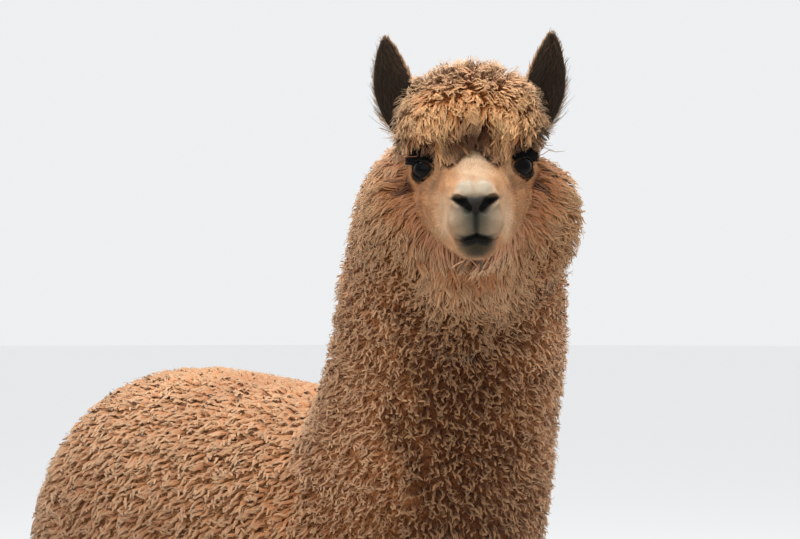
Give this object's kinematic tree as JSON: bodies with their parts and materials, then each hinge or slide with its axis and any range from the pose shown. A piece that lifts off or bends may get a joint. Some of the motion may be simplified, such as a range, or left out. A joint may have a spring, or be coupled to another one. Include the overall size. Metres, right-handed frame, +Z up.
{
  "type": "alpaca",
  "caption": "Life-size standing huacaya alpaca in full fawn fleece, head turned to its own right, ears up.",
  "frame": {"origin": "on the floor, under the middle of the animal's bounding box", "axes": "+Z up; -Y is the way the chest faces; +X is the animal's left"},
  "size_m": [0.5426, 1.2202, 1.4032],
  "materials": {
    "fleece": "soft matt wool, fawn",
    "ear_hair": "short matt hair, dark brown",
    "eye": "wet gloss, near black",
    "horn": "dull horn",
    "foot_skin": "short hair over leathery skin"
  },
  "bodies": {
    "root": {"head": "fleece", "neck": "fleece", "trunk": "fleece", "tail": "fleece", "leg_front_left": "fleece", "leg_front_right": "fleece", "leg_hind_left": "fleece", "leg_hind_right": "fleece", "foot_front_left": "foot_skin", "foot_front_right": "foot_skin", "foot_hind_left": "foot_skin", "foot_hind_right": "foot_skin", "nail_front_left_inner": "horn", "nail_front_left_outer": "horn", "nail_front_right_inner": "horn", "nail_front_right_outer": "horn", "nail_hind_left_inner": "horn", "nail_hind_left_outer": "horn", "nail_hind_right_inner": "horn", "nail_hind_right_outer": "horn", "ear_left": "ear_hair", "ear_right": "ear_hair", "eye_left": "eye", "eye_right": "eye"}
  },
  "joints": []
}
